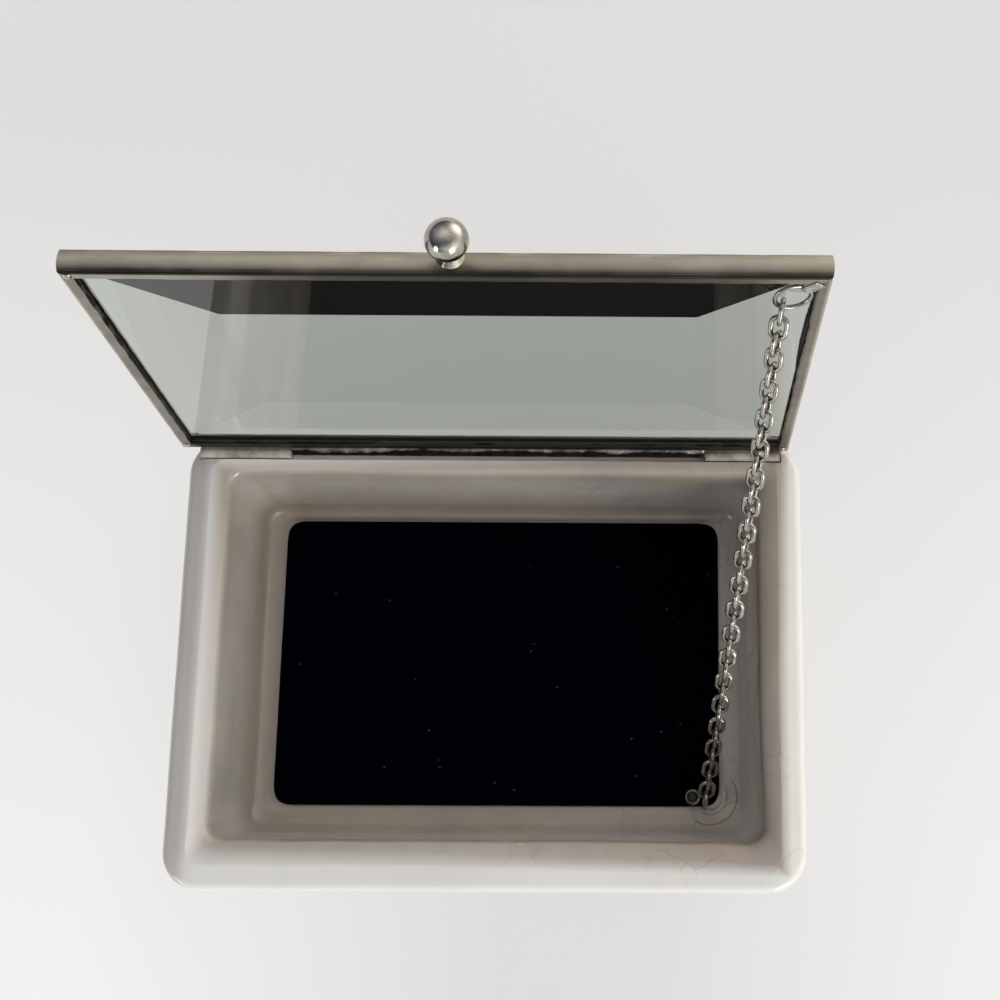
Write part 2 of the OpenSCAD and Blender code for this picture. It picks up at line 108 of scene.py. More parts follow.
class Nodes:
    """Short calls to build a material's node tree."""

    def __init__(self, name):
        self.mat = bpy.data.materials.new(name)
        self.mat.use_nodes = True
        self.tree = self.mat.node_tree
        self.bsdf = self.tree.nodes["Principled BSDF"]
        self.coord = self.tree.nodes.new("ShaderNodeTexCoord").outputs["Object"]

    def add(self, kind, **inputs):
        node = self.tree.nodes.new(kind)
        for key, value in inputs.items():
            self.put(node, key.replace("_", " "), value)
        return node

    def put(self, node, key, value):
        socket = node.inputs[int(key)] if key.isdigit() else node.inputs[key]
        if isinstance(value, bpy.types.NodeSocket):
            self.tree.links.new(value, socket)
        else:
            socket.default_value = value

    def set(self, key, value):
        self.put(self.bsdf, key, value)

    def mapping(self, scale):
        return self.add("ShaderNodeMapping", Vector=self.coord, Scale=scale).outputs[0]

    def noise(self, scale, detail=2.0, rough=0.5, vector=None, out="Fac"):
        n = self.add("ShaderNodeTexNoise", Vector=vector or self.coord, Scale=scale, Detail=detail,
                     Roughness=rough)
        return n.outputs[out]

    def ramp(self, fac, stops):
        """Colours or greys along a value, from pairs of place and colour."""
        n = self.add("ShaderNodeValToRGB", Fac=fac)
        el = n.color_ramp.elements
        while len(el) < len(stops):
            el.new(0.5)
        for e, (pos, col) in zip(el, stops):
            e.position = pos
            e.color = (*col, 1) if isinstance(col, tuple) else (col, col, col, 1)
        return n.outputs["Color"]

    def math(self, op, a, b=0.0):
        n = self.tree.nodes.new("ShaderNodeMath")
        n.operation = op
        self.put(n, "0", a)
        self.put(n, "1", b)
        return n.outputs[0]

    def fade(self, value, start, end, low=0.0, high=1.0):
        """A clamped run from low, where the value is start, to high, where it is end."""
        return self.add("ShaderNodeMapRange", Value=value, From_Min=start, From_Max=end, To_Min=low,
                        To_Max=high).outputs[0]

    def mix(self, fac, a, b, mode="MIX"):
        n = self.tree.nodes.new("ShaderNodeMix")
        n.data_type = "RGBA"
        n.blend_type = mode
        for socket, value in ((n.inputs[0], fac), (n.inputs[6], a), (n.inputs[7], b)):
            if isinstance(value, bpy.types.NodeSocket):
                self.tree.links.new(value, socket)
            elif isinstance(value, tuple):
                socket.default_value = (*value, 1)
            else:
                socket.default_value = value
        return n.outputs[2]

    def bump(self, height, strength, distance):
        return self.add("ShaderNodeBump", Height=height, Strength=strength, Distance=distance).outputs[0]

    def separate(self, vector):
        return self.add("ShaderNodeSeparateXYZ", Vector=vector).outputs


# ------------------------------------------------------------------ materials
def glaze_painted_shade(m, base, warm, x, y, z):
    """Painted shade darkens and browns the well, most at its foot, and the well is mottled with cool grey;
    returns the colour and the well's mask.
    """
    in_x = m.math("SUBTRACT", TRAY_W / 2 * MM, m.math("ABSOLUTE", x))
    in_y = m.math("SUBTRACT", TRAY_D / 2 * MM, m.math("ABSOLUTE", y))
    inset = m.math("ADD", m.math("MINIMUM", in_x, in_y), m.math("MULTIPLY", warm, 0.0012))
    # the painted shade reaches further up the crest at the right and the rear
    right, rear = m.math("MAXIMUM", x, 0.0), m.math("MAXIMUM", y, 0.0)
    lean = m.math("ADD", m.math("MULTIPLY", x, 0.024), m.math("MULTIPLY", rear, 0.024))
    inside = m.fade(m.math("ADD", inset, lean), 0.0062, 0.0096)
    # painted shade by height: strongest at the foot, weakest mid-wall, stronger again towards the bank
    level = m.ramp(m.math("MULTIPLY", z, 20.0), [(0.13, 1.0), (0.17, 0.9), (0.25, 0.50), (0.45, 0.25),
                                                 (0.62, 0.36), (0.78, 0.62)])
    high = m.fade(z, 0.012, 0.038, -4.0, 7.0)
    more_shade = m.math("ADD", m.math("MULTIPLY", right, high), m.math("MULTIPLY", rear, 6.0))
    level = m.math("ADD", level, more_shade)
    # painted shade: where this mask is high, the glaze is multiplied towards brown
    painted_well_shade = m.math("MULTIPLY", inside, level)
    base = m.mix(painted_well_shade, base, m.mix(1.0, base, (0.54, 0.475, 0.41), "MULTIPLY"))
    patches = m.ramp(m.noise(48, 4, 0.62, vector=m.mapping((1, 1, 0.6))),
                     [(0.36, (0.90, 0.90, 0.96)), (0.5, (1.0, 0.985, 0.97)), (0.64, (0.93, 0.90, 0.86))])
    base = m.mix(m.math("MULTIPLY", inside, 0.9), base, m.mix(1.0, base, patches, "MULTIPLY"))
    # painted shade: the rim's left flank, turned away from the light, is darker
    painted_flank_shade = m.fade(x, -0.0722, -0.0745)
    return m.mix(painted_flank_shade, base, m.mix(1.0, base, (0.78, 0.745, 0.69), "MULTIPLY")), inside


def crackle_lines(m, inside, x):
    """The edges of large bent cells, broken up by a slow noise and densest at the right."""
    bend = m.noise(60, 3, 0.6, out="Color")
    cells = m.add("ShaderNodeTexVoronoi", Vector=m.mix(0.018, m.coord, bend, "ADD"), Scale=58.0)
    cells.feature = "DISTANCE_TO_EDGE"
    line = m.ramp(cells.outputs["Distance"], [(0.0, 1.0), (0.007, 0.5), (0.016, 0.0)])
    side = m.math("ADD", m.math("MULTIPLY", x, 6.0), 0.48)
    patch = m.ramp(m.math("MULTIPLY", m.noise(35, 2, 0.5), side), [(0.28, 0.0), (0.48, 1.0)])
    return m.math("MULTIPLY", m.math("MULTIPLY", line, patch),
                  m.math("ADD", 0.25, m.math("MULTIPLY", inside, 0.75)))


def glue_arcs(m, base, x, y, z):
    """Arcs of old glue about the pad's front right corner."""
    off = m.add("ShaderNodeCombineXYZ", X=m.math("SUBTRACT", x, 0.0562), Y=m.math("SUBTRACT", y, -0.0322))
    far = m.tree.nodes.new("ShaderNodeVectorMath")
    far.operation = "LENGTH"
    m.tree.links.new(off.outputs[0], far.inputs[0])
    reach = m.math("ADD", far.outputs["Value"], m.math("MULTIPLY", m.noise(300, 2), 0.0006))
    shown = m.math("MULTIPLY", m.fade(m.math("SUBTRACT", x, y), 0.0885, 0.0915), m.fade(z, 0.012, 0.009))
    for radius, width, colour, much in ((0.0036, 0.00025, (0.10, 0.09, 0.08), 0.5),
                                        (0.0043, 0.0003, (0.75, 0.72, 0.68), 0.4),
                                        (0.0050, 0.00025, (0.14, 0.12, 0.10), 0.4),
                                        (0.0076, 0.00022, (0.07, 0.05, 0.04), 0.7)):
        line = m.fade(m.math("ABSOLUTE", m.math("SUBTRACT", reach, radius)), width, width * 0.3)
        base = m.mix(m.math("MULTIPLY", m.math("MULTIPLY", line, shown), much), base, colour)
    return base


def pinholes(m):
    pits = m.add("ShaderNodeTexVoronoi", Vector=m.coord, Scale=95.0)
    dots = m.ramp(pits.outputs["Distance"], [(0.03, 1.0), (0.05, 0.0)])
    return m.math("MULTIPLY", dots, m.math("GREATER_THAN", m.separate(pits.outputs["Color"])[0], 0.93))


def glaze_material():
    m = Nodes("glaze")
    p = m.separate(m.coord)
    x, y, z = p["X"], p["Y"], p["Z"]
    warm = m.noise(22, 3, 0.55)
    base = m.ramp(warm, [(0.3, (0.79, 0.77, 0.745)), (0.7, (0.86, 0.845, 0.825))])
    base, inside = glaze_painted_shade(m, base, warm, x, y, z)
    crackle = crackle_lines(m, inside, x)
    base = m.mix(m.math("MULTIPLY", crackle, 0.5), base, (0.20, 0.17, 0.14))
    base = glue_arcs(m, base, x, y, z)
    dots = pinholes(m)
    m.set("Base Color", m.mix(m.math("MULTIPLY", dots, 0.75), base, (0.12, 0.10, 0.08)))
    m.set("Roughness", m.ramp(m.noise(120, 2, 0.6), [(0.3, 0.16), (0.7, 0.24)]))
    m.set("Coat Weight", 0.4)
    m.set("Coat Roughness", 0.08)
    ripple = m.noise(180, 2, 0.5)
    height = m.math("SUBTRACT", m.math("MULTIPLY", ripple, 0.25), m.math("ADD", crackle, dots))
    m.set("Normal", m.bump(height, 0.25, 0.00012))
    return m.mat


def velvet_material():
    m = Nodes("velvet")
    pile = m.noise(2600, 2, 0.7)
    lay = m.noise(60, 4, 0.6)
    colour = m.mix(m.math("MULTIPLY", lay, 0.6), (0.0003, 0.0004, 0.0026), (0.0012, 0.0012, 0.006))
    # a few specks of lint
    specks = m.add("ShaderNodeTexVoronoi", Vector=m.mapping((1, 1, 0)), Scale=520.0)
    lint = m.math("MULTIPLY", m.ramp(specks.outputs["Distance"], [(0.10, 1.0), (0.22, 0.0)]),
                  m.math("GREATER_THAN", m.separate(specks.outputs["Color"])[1], 0.965))
    m.set("Base Color", m.mix(m.math("MULTIPLY", lint, 0.28), colour, (0.16, 0.16, 0.20)))
    m.set("Roughness", 0.95)
    m.set("Specular IOR Level", 0.02)
    m.set("Sheen Weight", 0.05)
    m.set("Sheen Roughness", 0.45)
    m.set("Sheen Tint", (0.25, 0.28, 0.5, 1))
    m.set("Normal", m.bump(pile, 0.6, 0.0002))
    return m.mat


def metal_material(name, light, dark, rough, scale, stretch=(1, 1, 1), streak=0.6, toned=False):
    """Tarnished metal. Where toned, its colour is multiplied by the mesh's own tone, which holds painted
    reflection and shade.
    """
    m = Nodes(name)
    v = m.mapping(stretch)
    tone = m.noise(scale, 5, 0.62, vector=v)
    fine = m.noise(scale * 9, 3, 0.6, vector=v)
    colour = m.ramp(m.math("ADD", m.math("MULTIPLY", tone, streak), m.math("MULTIPLY", fine, 1 - streak)),
                    [(0.36, dark), (0.62, light)])
    if toned:
        tone_of = m.tree.nodes.new("ShaderNodeAttribute")
        tone_of.attribute_name = "tone"
        colour = m.mix(1.0, colour, tone_of.outputs["Color"], "MULTIPLY")
    m.set("Base Color", colour)
    m.set("Metallic", 1.0)
    m.set("Roughness", m.ramp(tone, [(0.3, rough + 0.12), (0.7, rough)]))
    m.set("Normal", m.bump(fine, 0.25, 0.00006))
    return m.mat


def glass_material():
    m = Nodes("glass")
    m.set("Base Color", (0.60, 0.635, 0.595, 1))
    m.set("Transmission Weight", 0.992)
    m.set("IOR", 1.52)
    smear = m.noise(30, 3, 0.6)
    m.set("Roughness", m.ramp(smear, [(0.45, 0.0), (0.8, 0.012)]))
    return m.mat


def adhesive_material():
    m = Nodes("adhesive")
    m.set("Base Color", m.ramp(m.noise(200, 3), [(0.3, (0.34, 0.30, 0.25)), (0.7, (0.60, 0.56, 0.50))]))
    m.set("Transmission Weight", 0.25)
    m.set("Roughness", 0.22)
    m.set("IOR", 1.46)
    m.set("Normal", m.bump(m.noise(700, 3), 0.4, 0.0001))
    return m.mat


def strip_material():
    """Dull solder, painted black along its front as the shadow of the gap between it and the tray."""
    m = Nodes("strip")
    y = m.separate(m.coord)["Y"]
    patch = m.noise(150, 4, 0.6)
    top = m.ramp(patch, [(0.35, (0.05, 0.045, 0.035)), (0.52, (0.17, 0.15, 0.125)),
                         (0.7, (0.36, 0.33, 0.285))])
    low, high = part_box("rod_solder")
    deep = high[1] - low[1]
    # painted shadow: the strip's front part is black
    edge = low[1] + 0.27 * deep
    level = m.math("ADD", y, m.math("MULTIPLY", m.math("SUBTRACT", m.noise(75, 3, 0.6), 0.5), deep))
    painted_gap_shadow = m.fade(level, edge + 0.00015, edge - 0.00015)
    m.set("Base Color", m.mix(painted_gap_shadow, top, (0.008, 0.0075, 0.007)))
    m.set("Metallic", 0.85)
    m.set("Roughness", m.ramp(patch, [(0.4, 0.42), (0.65, 0.24)]))
    m.set("Normal", m.bump(m.noise(500, 3), 0.4, 0.0001))
    return m.mat


def skin_material():
    """Grey-brown adhesive smeared all over the hinge tubes."""
    m = Nodes("skin")
    m.set("Base Color", m.ramp(m.noise(160, 4, 0.6), [(0.32, (0.14, 0.12, 0.10)),
                                                      (0.5, (0.32, 0.285, 0.245)),
                                                      (0.68, (0.50, 0.46, 0.41))]))
    m.set("Roughness", 0.22)
    m.set("Normal", m.bump(m.noise(330, 3), 0.8, 0.0004))
    return m.mat


def putty_and_shade_material():
    # black: for the beads of painted shade at the glass's edge, and for the anchor's glue
    m = Nodes("putty_and_shade")
    m.set("Base Color", m.ramp(m.noise(600, 3), [(0.35, (0.006, 0.006, 0.005)), (0.7, (0.03, 0.027, 0.022))]))
    m.set("Roughness", 0.5)
    m.set("Normal", m.bump(m.noise(900, 3), 0.5, 0.0001))
    return m.mat


def card_material():
    m = Nodes("card")
    m.set("Base Color", m.ramp(m.noise(400, 4), [(0.3, (0.38, 0.33, 0.27)), (0.7, (0.48, 0.43, 0.36))]))
    m.set("Roughness", 0.9)
    return m.mat


GLAZE = glaze_material()
VELVET = velvet_material()
CAME = metal_material("came", (0.66, 0.615, 0.53), (0.46, 0.42, 0.35), 0.25, 34, (0.3, 1, 1), 0.65, True)
SOLDER = metal_material("solder", (0.66, 0.64, 0.60), (0.24, 0.22, 0.20), 0.2, 160)
STRIP = strip_material()
BALL = metal_material("ball", (0.56, 0.53, 0.47), (0.34, 0.315, 0.27), 0.09, 300)
ROD = metal_material("rod", (0.46, 0.43, 0.39), (0.20, 0.18, 0.16), 0.3, 300)
CHAIN = metal_material("chain", (0.50, 0.48, 0.44), (0.20, 0.18, 0.155), 0.16, 330)
DULL = metal_material("dull", (0.24, 0.225, 0.20), (0.05, 0.045, 0.04), 0.22, 330)
SKIN = skin_material()
PUTTY_AND_SHADE = putty_and_shade_material()
GLASS = glass_material()
ADHESIVE = adhesive_material()
CARD = card_material()

# what each CAD node is made of, by how its name starts; the rest are chain
FINISHES = (("tray", GLAZE), ("velvet_pad", VELVET), ("insert_card", CARD), ("lid_glass", GLASS),
            ("came_", CAME), ("corner_solder", SOLDER), ("rod_solder", SOLDER), ("loop_solder", SOLDER),
            ("knob_", BALL), ("hinge_rod", ROD), ("hinge_tube", SKIN), ("tube_adhesive", ADHESIVE),
            ("anchor_glue", PUTTY_AND_SHADE), ("anchor_link", DULL))
for name, obj in nodes.items():
    set_material(obj, next((mat for start, mat in FINISHES if name.startswith(start)), CHAIN))


# ------------------------------------------------------------------ tray
def arc(cx, cz, r, a0, a1, n):
    """Points along an arc, from angle a0 to a1 in degrees."""
    return [(cx + r * math.cos(math.radians(a0 + (a1 - a0) * i / n)),
             cz + r * math.sin(math.radians(a0 + (a1 - a0) * i / n))) for i in range(n + 1)]


def resample(points, step):
    """Points at an even step along a polyline, both ends kept."""
    out = [points[0]]
    for a, b in zip(points, points[1:]):
        n = max(1, round(math.dist(a, b) / step))
        out += [tuple(p + (q - p) * i / n for p, q in zip(a, b)) for i in range(1, n + 1)]
    return out


def soften(points, passes):
    for _ in range(passes):
        points = [points[0]] + [tuple((a + 2 * b + c) / 4 for a, b, c in zip(p, q, r))
                                for p, q, r in zip(points, points[1:], points[2:])] + [points[-1]]
    return points


def corner_radius(s):
    """The radius of a ring's corners: it closes up to the crest, and opens again down in the well."""
    outer, crest, growth = 9.5, 3.6, 0.15
    return outer - s * (outer - crest) / RIM if s <= RIM else crest + (s - RIM) * growth


# the well gives way a little where the closed lid's first links hang: the middle, reach and depth
ROOM_X, ROOM_Y, ROOM_REACH, ROOM_DEPTH = 67, -39, (8, 12), 0.75


def ring(s, z):
    """A ring of the tray at inset s and height z, with a hand-made unevenness."""
    n_side, n_corner = 46, 14
    w, d, r = TRAY_W / 2 - s, TRAY_D / 2 - s, corner_radius(s)
    y0 = SHIFT * max(0.0, (s - RIM) / (FOOT - RIM))
    out = []
    for cx, cy, a0 in ((1, 1, 0), (-1, 1, 90), (-1, -1, 180), (1, -1, 270)):
        for i in range(n_corner + 1):
            a = math.radians(a0 + 90 * i / n_corner)
            out.append((cx * (w - r) + r * math.cos(a), y0 + cy * (d - r) + r * math.sin(a),
                        math.cos(a), math.sin(a)))
        # then a straight side from this corner's end e to the next corner's start f
        nx, ny = ((-1, 1), (-1, -1), (1, -1), (1, 1))[a0 // 90]
        e = out[-1]
        f = (nx * (w - r) + (0 if a0 in (0, 180) else nx * r),
             y0 + ny * (d - r) + (0 if a0 in (90, 270) else ny * r))
        for i in range(1, n_side):
            t = i / n_side
            out.append((e[0] + (f[0] - e[0]) * t, e[1] + (f[1] - e[1]) * t, e[2], e[3]))
    pts = []
    inner = s > RIM
    for x, y, ux, uy in out:
        q = Vector((x, y, z))
        slow = noise.noise(q / 26) + 0.5 * noise.noise(q / 11 + Vector((9, 4, 2)))
        push = slow * 0.22 if inner else -abs(slow) * 0.16
        if inner:
            room = math.exp(-((x - ROOM_X) / ROOM_REACH[0]) ** 2 - ((y - ROOM_Y) / ROOM_REACH[1]) ** 2)
            push += ROOM_DEPTH * room * min(1.0, (s - RIM) / 4)
        if s > FOOT - 2:
            push = 0    # the floor under the pad stays true
        dz = -abs(noise.noise(q / 17 + Vector((3, 8, 5)))) * 0.18 if z > 36 else 0
        pts.append(((x + ux * push) * MM, (y + uy * push) * MM, (z + dz) * MM))
    return pts


def make_tray():
    """The profile, from the outside of the foot over the crest to the well's floor, lofted round."""
    base_r, outer_r, crest_r, inner_r, cove_r = 2.5, 2.4, 3.0, 2.0, 5.0
    outer_lean, rim_fall, bank_w, bank_fall, floor_t = 3.5, 0.9, 4.6, 1.0, 5.5
    slope = math.degrees(math.atan(rim_fall / (RIM - outer_r)))
    bank = math.degrees(math.atan(bank_fall / (bank_w - inner_r)))
    line = (arc(outer_lean + base_r, base_r, base_r, -90, -180, 10)
            + arc(outer_r, TRAY_H - rim_fall - outer_r, outer_r, 180, 90 + slope, 10)
            + arc(RIM, TRAY_H - crest_r, crest_r, 90 + slope, 90 - bank, 8)
            + arc(RIM + bank_w - inner_r, TRAY_H - bank_fall - inner_r, inner_r, 90 - bank, 0, 10)
            + arc(FOOT, floor_t + cove_r, cove_r, 180, 270, 16))
    # the glaze has run: a little over the edges, and more down in the well
    line = soften(resample(line, 0.4), 5)
    crest = max(range(len(line)), key=lambda i: line[i][1])
    line = line[:crest] + soften(line[crest:], 30)
    rings = [ring(s, z) for s, z in line]
    n = len(rings[0])
    verts = [p for r in rings for p in r]
    faces = [(i * n + j, i * n + (j + 1) % n, (i + 1) * n + (j + 1) % n, (i + 1) * n + j)
             for i in range(len(rings) - 1) for j in range(n)]
    faces.append(tuple(reversed(range(n))))
    faces.append(tuple(range((len(rings) - 1) * n, len(rings) * n)))
    tray = mesh_object("glazed_tray", verts, faces)
    # the step behind the crest, that the hinge lies in, cut right out to the rear
    step_left, step_right, step_z, past = -75.5, 73.5, 40.47, 90
    cutter = box_object("cutter", (step_left, TRAY_D / 2 - RIM, step_z), (step_right, past, past))
    cut = tray.modifiers.new("step", "BOOLEAN")
    cut.operation, cut.solver, cut.object = "DIFFERENCE", "FAST", cutter
    apply_modifiers(tray)
    bpy.data.objects.remove(cutter)
    smooth_by_angle(tray, 50)
    set_material(tray, GLAZE)
    stand_in(tray, "tray", "tray")


def box_object(name, lo, hi):
    c = [(x * MM, y * MM, z * MM) for x in (lo[0], hi[0]) for y in (lo[1], hi[1]) for z in (lo[2], hi[2])]
    return mesh_object(name, c, [(0, 1, 3, 2), (4, 6, 7, 5), (0, 4, 5, 1), (2, 3, 7, 6), (0, 2, 6, 4),
                                 (1, 5, 7, 3)], smooth=False)


def smooth_by_angle(obj, degrees):
    for p in obj.data.polygons:
        p.use_smooth = True
    obj.data.set_sharp_from_angle(angle=math.radians(degrees))


# ------------------------------------------------------------------ velvet pad
# the cloth's flat top ends this far in from the pad's edge, and this far below its crown
EDGE_IN, EDGE_DOWN = 0.9, 0.35


def pad_point(u, v):
    """A grid point u, v in -1..1 laid into the pad's rounded rectangle."""
    a, b = PAD_W / 2 - EDGE_IN, PAD_D / 2 - EDGE_IN
    x, y = u * a, v * b
    cx, cy = a - PAD_R, b - PAD_R
    if abs(x) > cx and abs(y) > cy:
        dx, dy = abs(x) - cx, abs(y) - cy
        k = max(dx, dy) / max(1e-6, math.hypot(dx, dy))
        x, y = math.copysign(cx + dx * k, x), math.copysign(cy + dy * k, y)
    return x * MM, (y + SHIFT) * MM, (PAD_TOP - EDGE_DOWN) * MM


def swell(cloth, border):
    """How far each point of a cloth held at its border rises under a little pressure, in mm."""
    pin = cloth.vertex_groups.new(name="pin")
    pin.add(border, 1.0, "REPLACE")
    mod = cloth.modifiers.new("cloth", "CLOTH")
    cs = mod.settings
    cs.quality, cs.mass, cs.tension_stiffness, cs.compression_stiffness = 3, 0.2, 8, 8
    cs.bending_stiffness, cs.vertex_group_mass = 0.4, "pin"
    cs.use_pressure, cs.uniform_pressure_force = True, 1.2
    cs.effector_weights.gravity = 0
    mod.collision_settings.use_self_collision = False
    for f in range(1, 9):
        bpy.context.scene.frame_set(f)
    got = cloth.evaluated_get(bpy.context.evaluated_depsgraph_get()).to_mesh()
    rise = [max(0.0, v.co.z / MM - (PAD_TOP - EDGE_DOWN)) for v in got.vertices]
    cloth.modifiers.clear()
    bpy.context.scene.frame_set(1)
    return rise


def pad_sides(mesh, border, flat):
    """The velvet's sides, rounded over the card's edge and down to the tray's floor."""
    inner_x, inner_y = PAD_W / 2 - PAD_R - EDGE_IN, PAD_D / 2 - PAD_R - EDGE_IN
    bm = bmesh.new()
    bm.from_mesh(mesh)
    bm.verts.ensure_lookup_table()
    loop = [bm.verts[i] for i in border]
    n = len(loop)
    for k, (out, z) in enumerate(((0.35, -0.45), (0.62, -0.62), (0.82, -0.9), (0.9, -1.3), (0.88, -1.9),
                                  (0.7, -2.15))):
        new = []
        for b in border:
            c = Vector(flat[b])
            cx = max(-inner_x, min(inner_x, c.x / MM))
            cy = max(-inner_y, min(inner_y, c.y / MM - SHIFT))
            away = Vector((c.x / MM - cx, c.y / MM - SHIFT - cy, 0)).normalized()
            fray = 0.05 * noise.noise(c * 900) if 0 < k < 5 else 0
            new.append(bm.verts.new((c.x + away.x * (out + fray) * MM, c.y + away.y * (out + fray) * MM,
                                     (PAD_TOP + z) * MM)))
        for i in range(n):
            bm.faces.new((loop[(i + 1) % n], loop[i], new[i], new[(i + 1) % n]))
        loop = new
    bm.faces.new(list(reversed(loop)))
    bmesh.ops.recalc_face_normals(bm, faces=bm.faces)
    bm.to_mesh(mesh)
    bm.free()


def make_pad():
    """The velvet is stretched over its card: a cloth held at the card's edge swells a little."""
    nx, ny = 44, 28
    flat = [pad_point(-1 + 2 * i / nx, -1 + 2 * j / ny) for j in range(ny + 1) for i in range(nx + 1)]
    corners = [j * (nx + 1) + i for j in range(ny) for i in range(nx)]
    border = ([i for i in range(nx)] + [j * (nx + 1) + nx for j in range(ny)]
              + [ny * (nx + 1) + i for i in range(nx, 0, -1)] + [j * (nx + 1) for j in range(ny, 0, -1)])
    cloth = mesh_object("velvet", flat, [(a, a + 1, a + nx + 2, a + nx + 1) for a in corners])
    rise = swell(cloth, border)
    top = max(rise) or 1.0
    for v, lift in zip(cloth.data.vertices, rise):
        x, y = v.co.x / MM, v.co.y / MM
        edge = min(PAD_W / 2 - abs(x), PAD_D / 2 - abs(y - SHIFT))
        z = PAD_TOP - EDGE_DOWN + 0.38 * (lift / top) ** 0.5 * min(1.0, edge / 4 + 0.3)
        z += 0.06 * noise.noise(Vector((x, y, 0)) / 9)
        # the pile is pressed down under the ring and the chain's end
        z -= 0.30 * math.exp(-((x - 52.6) ** 2 + (y + 32.9) ** 2) / 5.5)
        v.co.z = z * MM
    pad_sides(cloth.data, border, flat)
    for p in cloth.data.polygons:
        p.use_smooth = True
    sub = cloth.modifiers.new("sub", "SUBSURF")
    sub.levels = sub.render_levels = 2
    apply_modifiers(cloth)
    set_material(cloth, VELVET)
    stand_in(cloth, "velvet_pad", "tray")


# ------------------------------------------------------------------ lid metal
def lid(x, y, z):
    """A point of the closed lid's frame where the open lid stands, in metres."""
    y, z = y - LID_BACK, z + LID_UP
    c, s = math.cos(-OPEN), math.sin(-OPEN)
    return Vector(((x - LID_SHIFT) * MM, (ROD_Y + y * c - z * s) * MM, (ROD_Z + y * s + z * c) * MM))


def paint(obj, values):
    """A tone for each point, which the came's metal is multiplied by: painted reflection and shade."""
    layer = obj.data.color_attributes.new("tone", "FLOAT_COLOR", "POINT")
    for i, v in enumerate(values):
        layer.data[i].color = (v, v * 0.985, v * 0.95, 1)


def came_profile():
    """Points of the came's channel: in from the face, up from the inner side, and what they belong to."""
    h, bulge, thick = CAME_H, 0.35, 1.2
    big = ((h / 2) ** 2 + bulge ** 2) / (2 * bulge)     # the web's radius
    pts = [(LIP, 0.12, "lip"), (LIP - 0.1, 0.0, "lip"), (2.3, 0.0, "lip"), (1.6, 0.0, "lip"),
           (1.1, 0.0, "lip"), (0.8, 0.02, "roll")]
    for i in range(1, 6):
        a = math.radians(-90 - 90 * i / 6)
        pts.append((0.82 + 0.6 * math.cos(a), 0.6 + 0.6 * math.sin(a), "roll"))
    for i in range(15):
        w = 0.6 + (h - 1.2) * i / 14
        pts.append((big - math.sqrt(big ** 2 - (w - h / 2) ** 2), w, "web"))
    for i in range(1, 6):
        a = math.radians(180 - 90 * i / 6)
        pts.append((0.82 + 0.6 * math.cos(a), h - 0.6 + 0.6 * math.sin(a), "back"))
    return pts + [(0.8, h - 0.02, "back"), (1.5, h, "back"), (2.3, h, "back"), (LIP - 0.1, h, "back"),
                  (LIP, h - 0.12, "back"), (LIP, h - thick, "in"), (thick, h - thick, "in"),
                  (thick, thick, "in"), (LIP, thick, "in")]


def came_painted_shade(side, u, w, kind, q):
    """How bright the came is at u in from its face and w up, as painted reflection and shade: black on the
    rolls, on the rear lip and in the channel, a run from black to bright across the front web, the right lip
    darker towards its edge, with patches.
    """
    patch = 0.5 + noise.noise(q * 90) * 0.5 + 0.25 * noise.noise(q * 340)
    if kind == "in":
        return 0.06
    if side == "front":
        if kind == "web":
            return 0.10 + 0.88 * min(1.0, max(0.0, (w - 1.0) / 2.6)) ** 0.8 + 0.16 * (patch - 0.5)
        if kind == "roll":
            return 0.05 + 0.05 * patch
        return 0.50 + 0.28 * patch if kind == "lip" else 0.9
    if side == "rear":
        return 0.05 + 0.05 * patch if kind in ("lip", "roll") else 0.45 + 0.3 * patch
    if kind == "lip":
        edge = min(1.0, max(0.25, (LIP - u) / 0.5))
        level = 0.30 if side == "left" else 0.26
        return (level + 0.22 * patch) * (edge if side == "right" else 1.0)
    return 0.55 + 0.35 * patch


def make_came(side, seed):
    """One side of the frame, mitred at both ends, with the small dents of soft metal."""
    length = LID_W if side in ("front", "rear") else LID_D
    profile = came_profile()
    n, cuts = len(profile), int(length / 1.1)
    verts, shade_tones = [], []
    for i in range(cuts + 1):
        t = -1 + 2 * i / cuts
        for u, w, kind in profile:
            along = t * (length / 2 - u)
            q = Vector((along, w, seed))
            dent = 0.10 * max(0.0, noise.noise(q / 7)) + 0.05 * max(0.0, noise.noise(q / 2.3))
            uu, ww = u, w
            if kind in ("web", "roll"):
                uu = u + dent
            if kind == "lip":
                free = max(0, (u - 1.6) / (LIP - 1.6))      # the lip's edge is cut unevenly
                uu = u + (0.22 * noise.noise(q / 5) + 0.10 * noise.noise(q / 1.6)) * free
                ww = w + 0.5 * dent
            if kind == "back":
                ww = w - dent
            if side == "front":
                v = lid(along, -LID_D + uu, ww)
            elif side == "rear":
                v = lid(-along, -uu, ww)
            elif side == "left":
                v = lid(-LID_W / 2 + uu, -LID_D / 2 - along, ww)
            else:
                v = lid(LID_W / 2 - uu, -LID_D / 2 + along, ww)
            verts.append(v)
            # each point's painted reflection and shade
            shade_tones.append(max(0.02, min(1.15, came_painted_shade(side, u, w, kind, v))))
    faces = [(i * n + j, (i + 1) * n + j, (i + 1) * n + (j + 1) % n, i * n + (j + 1) % n)
             for i in range(cuts) for j in range(n)]
    faces += [tuple(range(n)), tuple(reversed(range(cuts * n, cuts * n + n)))]
    obj = mesh_object("metal_came_" + side, verts, faces)
    fix_normals(obj)
    paint(obj, shade_tones)
    smooth_by_angle(obj, 40)
    set_material(obj, CAME)
    stand_in(obj, "came_" + side, "lid")


